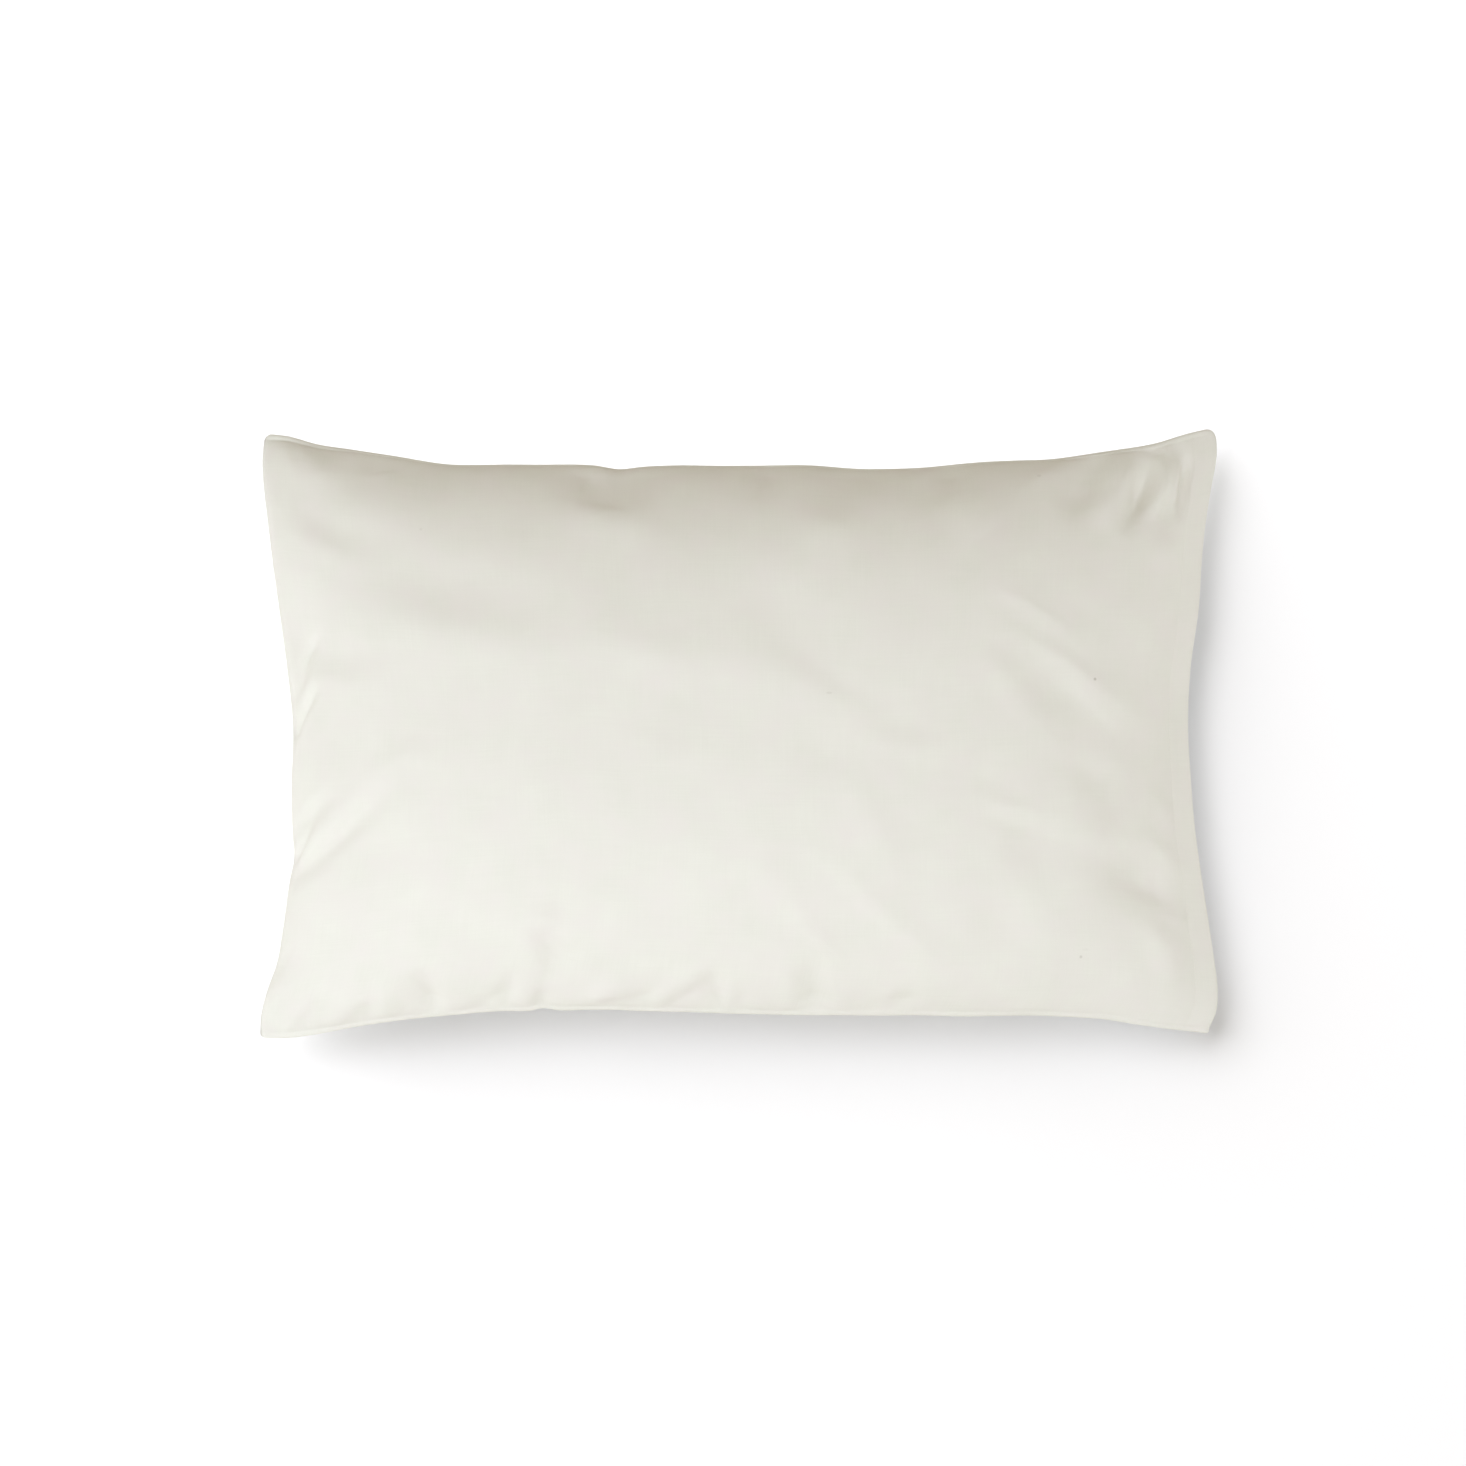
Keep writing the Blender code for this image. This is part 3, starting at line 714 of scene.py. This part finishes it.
def folds_push(net, side, x, y):
    """How far folds, swells and small unevenness push a panel's points out along their facing."""
    fullness = puff(net.u, net.v)
    held = np.clip(fullness / STITCH_GRIP, 0, 1)
    if side > 0:
        push = folds_at(TOP_EDGE_FOLDS, edge_fade, x, y)
        push += folds_at(TOP_FREE_FOLDS, free_fade, x, y) + swells_at(TOP_SWELLS, x, y)
    else:
        push = folds_at(BACK_EDGE_FOLDS, edge_fade, x, y)
        push += folds_at(BACK_FREE_FOLDS, free_fade, x, y)
    push *= held
    if side > 0:
        push += folds_at(TOP_CREASES, free_fade, x, y) * np.clip(fullness / CREASE_GRIP, 0, 1)
    from_seam = (1 - np.abs(net.v)) * HALF_WIDTH
    pucker = PUCKER_HEIGHT * uneven(x, PUCKER_STRETCH * y, PUCKER_LENGTH, PUCKER_SEED * side)
    push += pucker * np.sqrt(held) * np.exp(-from_seam / PUCKER_REACH)
    push += RUFFLE_HEIGHT * uneven(x, y, RUFFLE_LENGTH, RUFFLE_SEED * side) * held
    return push


def panel_places(net, side):
    """Places of one panel's points, its folds included: side 1 is the top and -1 the back."""
    x, y, drop = outline_place(net)
    round_corners(x, y)
    rise = TOP_RISE if side > 0 else BACK_DROP
    z = edge_height(net.u, net.v) - drop
    z = z + side * (half_cloth(net) + rise * puff(net.u, net.v))
    z = ease_into_hem(z - far_sag(net.u, net.v))

    facing = facing_of(x, y, side * z)
    facing[..., 2] *= side
    places = np.stack([x, y, z], axis=-1) + facing * folds_push(net, side, x, y)[..., None]
    if side < 0:
        places[..., 2] = rest(places[..., 2])
    return places


def wave_hem(net, places):
    """Lets the hem's free edge wave gently."""
    share = np.clip(net.hem, 0, 1) * (1 - np.abs(net.v) ** SINK_POWER)
    wave = uneven(0 * places[..., 1], places[..., 1], HEM_WAVE_LENGTH, HEM_WAVE_SEED)
    places[..., 2] += HEM_WAVE * wave * share
    return places


def panel_faces(rows, columns):
    """Four corners of each face of a panel, whose points are numbered row by row."""
    corner = (np.arange(rows - 1)[:, None] * columns + np.arange(columns - 1)).ravel()
    return np.column_stack([corner, corner + 1, corner + columns + 1, corner + columns])


def flat_lengths(places):
    """How far along and across the flat cloth each row and column lies."""
    middle_row = places[places.shape[0] // 2]
    middle_column = places[:, places.shape[1] // 2]
    along = np.concatenate([[0], np.linalg.norm(np.diff(middle_row, axis=0), axis=1).cumsum()])
    across = np.concatenate([[0], np.linalg.norm(np.diff(middle_column, axis=0), axis=1).cumsum()])
    return np.meshgrid(along, across)


def flat_picture(places, side):
    """Where each point of a panel lies in the picture: the top below and the back above."""
    along, across = flat_lengths(places)
    along = BAKE_MARGIN + BAKE_SCALE * along
    across = BAKE_MARGIN + BAKE_SCALE * across
    return np.column_stack([along.ravel(), (across if side > 0 else 1 - across).ravel()])


def make_case(top, back):
    """Both panels as one closed mesh, which share the points along their rims."""
    rows, columns = top.shape[:2]
    count = rows * columns
    rim = np.zeros((rows, columns), bool)
    rim[[0, -1], :] = True
    rim[:, [0, -1]] = True
    back_number = np.arange(count).reshape(rows, columns)
    back_number[~rim] = count + np.arange((~rim).sum())
    top[rim] = (top[rim] + back[rim]) / 2
    points = np.concatenate([top.reshape(-1, 3), back[~rim]])
    top_faces = panel_faces(rows, columns)
    under_faces = top_faces[:, ::-1]
    faces = np.concatenate([top_faces, back_number.ravel()[under_faces]])
    mesh = bpy.data.meshes.new(NODE)
    mesh.from_pydata(points.tolist(), [], faces.tolist())

    top_picture = flat_picture(top, 1)[top_faces.ravel()]
    back_picture = flat_picture(back, -1)[under_faces.ravel()]
    picture = np.concatenate([top_picture, back_picture])
    layer = mesh.uv_layers.new(name=PICTURE)
    layer.data.foreach_set("uv", picture.astype(np.float32).ravel())
    mesh.shade_smooth()
    mesh.validate()
    return mesh


# ---- stitching


def evenly_along(path, pitch):
    """Places at one pitch along a path, with the direction at each."""
    steps = np.linalg.norm(np.diff(path, axis=0), axis=1)
    length = np.concatenate([[0], steps.cumsum()])
    at = np.arange(pitch / 2, length[-1], pitch)
    before, place, after = (
        np.column_stack([np.interp(at + shift, length, path[:, axis]) for axis in range(3)])
        for shift in (-pitch / 2, 0, pitch / 2)
    )
    ahead = after - before
    return place, ahead / np.linalg.norm(ahead, axis=1, keepdims=True)


def stitch_rings():
    """One stitch along +X as rings of points: share along it, and distance from its middle line."""
    along = np.array(STITCH_RINGS) - 0.5
    swell = np.sqrt(np.clip(1 - (2 * along) ** 4, STITCH_TIP, 1))
    turn = np.arange(STITCH_SIDES) * 2 * math.pi / STITCH_SIDES
    x = np.repeat(along * STITCH_LENGTH, STITCH_SIDES)
    y = (swell[:, None] * np.cos(turn)).ravel() * THREAD_RADIUS
    z = (swell[:, None] * np.sin(turn)).ravel() * THREAD_RADIUS
    return np.column_stack([x, y, z])


def stitch_faces():
    """Faces of one stitch, its two ends closed."""
    faces = []
    for ring in range(len(STITCH_RINGS) - 1):
        for side in range(STITCH_SIDES):
            after = (side + 1) % STITCH_SIDES
            low = ring * STITCH_SIDES
            high = low + STITCH_SIDES
            faces.append([low + side, high + side, high + after, low + after])
    last = len(STITCH_RINGS) * STITCH_SIDES - 1
    start_end = list(range(STITCH_SIDES))
    far_end = [last - side for side in range(STITCH_SIDES)]
    return faces + [start_end, far_end]


def stitch_picture():
    """Where one stitch's faces lie in its own square of the picture."""
    places = []
    for ring in range(len(STITCH_RINGS) - 1):
        low = STITCH_RINGS[ring]
        high = STITCH_RINGS[ring + 1]
        for side in range(STITCH_SIDES):
            start = side / STITCH_SIDES
            end = (side + 1) / STITCH_SIDES
            places += [(low, start), (high, start), (high, end), (low, end)]
    places = STRIP_MARGIN + np.array(places) * (STRIP_WIDTH, STRIP_HEIGHT)
    ends = []
    for middle, turn_way in zip(END_MIDDLES, (1, -1)):
        turn = turn_way * np.arange(STITCH_SIDES) * 2 * math.pi / STITCH_SIDES
        ends.append(middle + END_RADIUS * np.column_stack([np.cos(turn), np.sin(turn)]))
    return np.concatenate([places, *ends])


def make_stitching(paths):
    """Every stitch along these paths, joined in one mesh."""
    ring_points = stitch_rings()
    stitch = stitch_faces()
    points = []
    faces = []
    for path, facing in paths:
        places, ahead = evenly_along(path, STITCH_PITCH)
        for place, direction in zip(places, ahead):
            out = facing - direction * direction.dot(facing)
            out = out / np.linalg.norm(out)
            beside = np.cross(out, direction)
            first = len(points) * len(ring_points)
            axes = np.stack([direction, beside, out])
            points.append(place + STITCH_STANDS * out + ring_points @ axes)
            faces += [[first + corner for corner in face] for face in stitch]
    mesh = bpy.data.meshes.new("stitching")
    mesh.from_pydata(np.concatenate(points).tolist(), [], faces)
    squares = math.ceil(math.sqrt(len(points)))
    square = np.arange(len(points))
    corner = np.column_stack([square % squares, square // squares])
    picture = (corner[:, None, :] + stitch_picture()) / squares
    layer = mesh.uv_layers.new(name=PICTURE)
    layer.data.foreach_set("uv", picture.astype(np.float32).ravel())
    mesh.shade_smooth()
    return mesh


def seam_paths(top, back):
    """The lines that the stitching follows, each with the way that its cloth faces."""
    first = len(LIP_SHARES)
    hem_end = CLOTH_COLUMNS + HEM_COLUMNS
    hem_start = CLOTH_COLUMNS - 1
    paths = []
    for places, side in ((top, 1), (back, -1)):
        for row, way, droop in ((first, -1, NEAR_DROOP), (-first - 1, 1, FAR_DROOP)):
            facing = np.array([0, way * side * math.sin(droop), math.cos(droop)]) * side
            paths.append((places[row, FOLD_CLEAR_COLUMNS:hem_end], facing))
        facing = np.array([side * math.sin(HEM_DROOP), 0, math.cos(HEM_DROOP)]) * side
        paths.append((places[first:-first, hem_start], facing))
    return paths


# ---- finishes


def join(tree, source, socket):
    """Feeds a socket from another one, or gives it a plain value."""
    if isinstance(source, bpy.types.NodeSocket):
        tree.links.new(source, socket)
    else:
        socket.default_value = source


def maths(tree, operation, first, second=0.0, third=0.0):
    """Output of a Math node."""
    node = tree.nodes.new("ShaderNodeMath")
    node.operation = operation
    for socket, source in zip(node.inputs, (first, second, third)):
        join(tree, source, socket)
    return node.outputs["Value"]


def vector_maths(tree, operation, first, second):
    """Output of a Vector Math node."""
    node = tree.nodes.new("ShaderNodeVectorMath")
    node.operation = operation
    join(tree, first, node.inputs[0])
    join(tree, second, node.inputs[1])
    return node.outputs["Vector"]


def mix_colours(tree, share, first, second):
    """Output of a colour Mix node, whose colours come after its numbers and vectors."""
    node = tree.nodes.new("ShaderNodeMix")
    node.data_type = "RGBA"
    join(tree, share, node.inputs["Factor"])
    join(tree, first, node.inputs[6])
    join(tree, second, node.inputs[7])
    return node.outputs[2]


def soft_noise(tree, place, stretch, detail):
    """Noise from about 0 to 1, with its bumps drawn out along one way."""
    node = tree.nodes.new("ShaderNodeTexNoise")
    node.inputs["Scale"].default_value = 1
    node.inputs["Detail"].default_value = detail
    tree.links.new(vector_maths(tree, "MULTIPLY", place, stretch), node.inputs["Vector"])
    return node.outputs["Fac"]


def new_group(name, inputs, outputs):
    """An empty shader node group, its sockets given as name, kind and usual value."""
    tree = bpy.data.node_groups.new(name, "ShaderNodeTree")
    for socket_name, kind, usual in inputs:
        socket = tree.interface.new_socket(socket_name, in_out="INPUT", socket_type=kind)
        socket.default_value = usual
    for socket_name, kind in outputs:
        tree.interface.new_socket(socket_name, in_out="OUTPUT", socket_type=kind)
    return tree, tree.nodes.new("NodeGroupInput").outputs, tree.nodes.new("NodeGroupOutput").inputs


def woven_group():
    """Plain weave: two sets of threads that take turns on top, slubs, uneven colour, and painted
    shade in the hollows between threads.
    """
    tree, given, result = new_group(
        "woven cotton",
        [
            ("Place", "NodeSocketVector", (0, 0, 0)),
            ("Threads Per Metre", "NodeSocketFloat", 2200.0),
            ("Light Colour", "NodeSocketColor", (0.87, 0.85, 0.78, 1)),
            ("Deep Colour", "NodeSocketColor", (0.84, 0.82, 0.74, 1)),
            ("Blush Colour", "NodeSocketColor", (0.87, 0.82, 0.77, 1)),
            ("Slubs", "NodeSocketFloat", 0.5),
        ],
        [
            ("Colour", "NodeSocketColor"),
            ("Height", "NodeSocketFloat"),
            ("Roughness", "NodeSocketFloat"),
        ],
    )
    place = given["Place"]
    split = tree.nodes.new("ShaderNodeSeparateXYZ")
    join(tree, place, split.inputs[0])
    half_turns = maths(tree, "MULTIPLY", given["Threads Per Metre"], math.pi)
    warp_wave = maths(tree, "SINE", maths(tree, "MULTIPLY", split.outputs["X"], half_turns))
    weft_wave = maths(tree, "SINE", maths(tree, "MULTIPLY", split.outputs["Y"], half_turns))
    warp = maths(tree, "ABSOLUTE", warp_wave)
    weft = maths(tree, "ABSOLUTE", weft_wave)
    warp_on_top = maths(tree, "GREATER_THAN", maths(tree, "MULTIPLY", warp_wave, weft_wave), 0.0)
    dip = CROSSING_DIP
    warp_height = maths(tree, "MULTIPLY", warp, maths(tree, "MULTIPLY_ADD", weft, dip, 1 - dip))
    weft_height = maths(tree, "MULTIPLY", weft, maths(tree, "MULTIPLY_ADD", warp, dip, 1 - dip))
    difference = maths(tree, "SUBTRACT", warp_height, weft_height)
    threads = maths(tree, "MULTIPLY_ADD", difference, warp_on_top, weft_height)

    long_slubs = soft_noise(tree, place, SLUBS_ALONG, detail=1)
    cross_slubs = soft_noise(tree, place, SLUBS_ACROSS, detail=1)
    slubs = maths(tree, "SUBTRACT", maths(tree, "ADD", long_slubs, cross_slubs), 1.0)
    slubs = maths(tree, "MULTIPLY", slubs, given["Slubs"])
    join(tree, maths(tree, "ADD", threads, slubs), result["Height"])
    between, on_top = THREAD_ROUGHNESS
    join(tree, maths(tree, "MULTIPLY_ADD", threads, on_top, between), result["Roughness"])

    clouds = soft_noise(tree, place, CLOUDS, detail=5)
    cloudy = maths(tree, "MULTIPLY_ADD", clouds, *CLOUD_CONTRAST)
    # painted shade: thread tops are painted lighter and the hollows between threads darker; the
    # clouds and slubs are the cloth's own uneven tone
    tone_and_painted_shade = maths(tree, "MULTIPLY_ADD", threads, THREAD_TOP_PAINTED_LIGHT, cloudy)
    tone_and_painted_shade = maths(tree, "ADD", tone_and_painted_shade, slubs)
    colour = mix_colours(tree, tone_and_painted_shade, given["Deep Colour"], given["Light Colour"])
    blushes = soft_noise(tree, place, BLUSHES, detail=2)
    blushing = maths(tree, "MULTIPLY_ADD", blushes, *BLUSH_CONTRAST)
    join(tree, mix_colours(tree, blushing, colour, given["Blush Colour"]), result["Colour"])
    return tree


def fleck_group():
    """A soft oval spot on the top panel, as a mask."""
    tree, given, result = new_group(
        "fleck",
        [
            ("Place", "NodeSocketVector", (0, 0, 0)),
            ("Middle", "NodeSocketVector", (0, 0, 0)),
            ("Spread", "NodeSocketVector", (1000, 1000, 0)),
            ("Strength", "NodeSocketFloat", 0.5),
        ],
        [("Mask", "NodeSocketFloat")],
    )
    away = vector_maths(tree, "SUBTRACT", given["Place"], given["Middle"])
    away = vector_maths(tree, "MULTIPLY", away, given["Spread"])
    length = tree.nodes.new("ShaderNodeVectorMath")
    length.operation = "LENGTH"
    join(tree, away, length.inputs[0])
    spot = tree.nodes.new("ShaderNodeMapRange")
    spot.interpolation_type = "SMOOTHSTEP"
    join(tree, length.outputs["Value"], spot.inputs["Value"])
    spot.inputs["From Min"].default_value = 1.0
    spot.inputs["From Max"].default_value = FLECK_CORE
    split = tree.nodes.new("ShaderNodeSeparateXYZ")
    join(tree, given["Place"], split.inputs[0])
    on_top = maths(tree, "GREATER_THAN", split.outputs["Z"], SEAM_HEIGHT)
    mask = maths(tree, "MULTIPLY", spot.outputs["Result"], given["Strength"])
    join(tree, maths(tree, "MULTIPLY", mask, on_top), result["Mask"])
    return tree


def flat_place(tree):
    """Place on the flat cloth in metres, from the cloth's own flat layout."""
    layout = tree.nodes.new("ShaderNodeUVMap")
    layout.uv_map = PICTURE
    return vector_maths(tree, "MULTIPLY", layout.outputs["UV"], (1 / BAKE_SCALE, 1 / BAKE_SCALE, 1))


def add_weave(tree, weave, place, values, thread_height):
    """Puts the weave in a material, with its own values, and returns its colour."""
    node = tree.nodes.new("ShaderNodeGroup")
    node.node_tree = weave
    join(tree, place, node.inputs["Place"])
    for name, value in values.items():
        node.inputs[name].default_value = value
    finish = tree.nodes["Principled BSDF"]
    finish.inputs["Specular IOR Level"].default_value = COTTON_SPECULAR
    join(tree, node.outputs["Roughness"], finish.inputs["Roughness"])
    bump = tree.nodes.new("ShaderNodeBump")
    bump.inputs["Distance"].default_value = thread_height
    bump.inputs["Strength"].default_value = WEAVE_STRENGTH
    join(tree, node.outputs["Height"], bump.inputs["Height"])
    join(tree, bump.outputs["Normal"], finish.inputs["Normal"])
    return node.outputs["Colour"]


def new_material(name):
    """An empty material, with its shader nodes."""
    material = bpy.data.materials.new(name)
    material.use_nodes = True
    return material, material.node_tree


def cotton_material(weave):
    """The case's own cloth, with its few seed flecks."""
    material, tree = new_material("cream cotton")
    colour = add_weave(tree, weave, flat_place(tree), CLOTH_LOOK, CLOTH_THREAD_HEIGHT)
    place = tree.nodes.new("ShaderNodeTexCoord").outputs["Object"]
    spots = fleck_group()
    mask = 0.0
    for fleck in FLECKS:
        node = tree.nodes.new("ShaderNodeGroup")
        node.node_tree = spots
        join(tree, place, node.inputs["Place"])
        node.inputs["Middle"].default_value = (fleck.x * MM, fleck.y * MM, 0)
        node.inputs["Spread"].default_value = (2 / fleck.length / MM, 2 / fleck.width / MM, 0)
        node.inputs["Strength"].default_value = fleck.strength
        mask = maths(tree, "ADD", mask, node.outputs["Mask"])
    colour = mix_colours(tree, mask, colour, FLECK_COLOUR)
    join(tree, colour, tree.nodes["Principled BSDF"].inputs["Base Color"])
    return material


def thread_material(weave):
    """The sewing thread."""
    material, tree = new_material("cotton thread")
    place = tree.nodes.new("ShaderNodeTexCoord").outputs["Object"]
    colour = add_weave(tree, weave, place, THREAD_LOOK, TWIST_HEIGHT)
    join(tree, colour, tree.nodes["Principled BSDF"].inputs["Base Color"])
    return material


def floor_material():
    """The plain pale floor, quite matt."""
    material, tree = new_material("studio floor")
    finish = tree.nodes["Principled BSDF"]
    finish.inputs["Base Color"].default_value = FLOOR_COLOUR
    finish.inputs["Roughness"].default_value = 1
    finish.inputs["Specular IOR Level"].default_value = 0
    return material


def place_object(name, data):
    """A mesh, lamp or camera, put into the scene."""
    thing = bpy.data.objects.new(name, data)
    bpy.context.scene.collection.objects.link(thing)
    return thing


# ---- studio


def make_floor():
    """The floor that the case lies on."""
    mesh = bpy.data.meshes.new("floor")
    edge = FLOOR_HALF
    corners = [(-edge, -edge, 0), (edge, -edge, 0), (edge, edge, 0), (-edge, edge, 0)]
    mesh.from_pydata(corners, [], [(0, 1, 2, 3)])
    mesh.materials.append(floor_material())
    return place_object("floor", mesh)


def hang_lamps(case_things, floor):
    """Every lamp, aimed at the case, and linked with what it lights."""
    groups = {}
    for name, things in (("case", case_things), ("floor", [floor])):
        groups[name] = bpy.data.collections.new("lit " + name)
        for thing in things:
            groups[name].objects.link(thing)
    for lamp in LAMPS:
        tilt = math.radians(lamp.tilt)
        turn = math.radians(lamp.turn)
        out = math.sin(tilt)
        place = Vector((-out * math.sin(turn), -out * math.cos(turn), math.cos(tilt)))
        place *= lamp.distance
        light = bpy.data.lights.new(lamp.name, "AREA")
        light.shape = "SQUARE"
        light.size = lamp.size
        light.energy = lamp.power
        light.color = lamp.colour
        thing = place_object(lamp.name, light)
        thing.location = place
        thing.rotation_euler = (LAMPS_AIM - place).to_track_quat("-Z", "Y").to_euler()
        lit = "case" if lamp.lights == "case" else "floor"
        thing.light_linking.receiver_collection = groups[lit]
        if lamp.lights == "floor_only":
            thing.light_linking.blocker_collection = groups["floor"]


def make_sky():
    """A dim sky that lights the scene, and a plain pale wall where the camera looks past it."""
    world = bpy.data.worlds.new("studio")
    bpy.context.scene.world = world
    world.use_nodes = True
    tree = world.node_tree
    sky = tree.nodes["Background"]
    sky.inputs["Color"].default_value = SKY_COLOUR
    sky.inputs["Strength"].default_value = SKY_STRENGTH
    wall = tree.nodes.new("ShaderNodeBackground")
    wall.inputs["Color"].default_value = WALL_COLOUR
    seen = tree.nodes.new("ShaderNodeMixShader")
    join(tree, tree.nodes.new("ShaderNodeLightPath").outputs["Is Camera Ray"], seen.inputs[0])
    join(tree, sky.outputs[0], seen.inputs[1])
    join(tree, wall.outputs[0], seen.inputs[2])
    join(tree, seen.outputs[0], tree.nodes["World Output"].inputs["Surface"])


def set_camera():
    """The camera, at the photo's angle."""
    lens = bpy.data.cameras.new("camera")
    lens.sensor_fit = "HORIZONTAL"
    lens.angle = 2 * math.atan(HALF_FRAME / FOCAL_LENGTH)
    thing = place_object("camera", lens)
    thing.location = AIM + Vector((0, -math.sin(TILT), math.cos(TILT))) * DISTANCE
    thing.rotation_euler = (TILT, 0, 0)
    bpy.context.scene.camera = thing


def centred_panels():
    """Places of the top and back panels, with the middle of the outline at the origin."""
    net = Net()
    top = wave_hem(net, panel_places(net, 1))
    back = wave_hem(net, panel_places(net, -1))
    low = np.minimum(top.min(axis=(0, 1)), back.min(axis=(0, 1)))
    high = np.maximum(top.max(axis=(0, 1)), back.max(axis=(0, 1)))
    middle = (low + high) / 2
    middle[2] = 0
    return top - middle, back - middle


def main():
    """Makes the case and its stitching, then the studio around them."""
    top, back = centred_panels()
    weave = woven_group()
    case = place_object("pillowcase_cloth", make_case(top, back))
    case.data.materials.append(cotton_material(weave))
    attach(case, BODY)
    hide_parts(NODE)
    stitching = place_object("stitching", make_stitching(seam_paths(top, back)))
    stitching.data.materials.append(thread_material(weave))
    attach(stitching, BODY)

    floor = make_floor()
    hang_lamps([case, stitching], floor)
    make_sky()
    set_camera()
    bpy.context.scene.view_settings.view_transform = "Standard"


main()
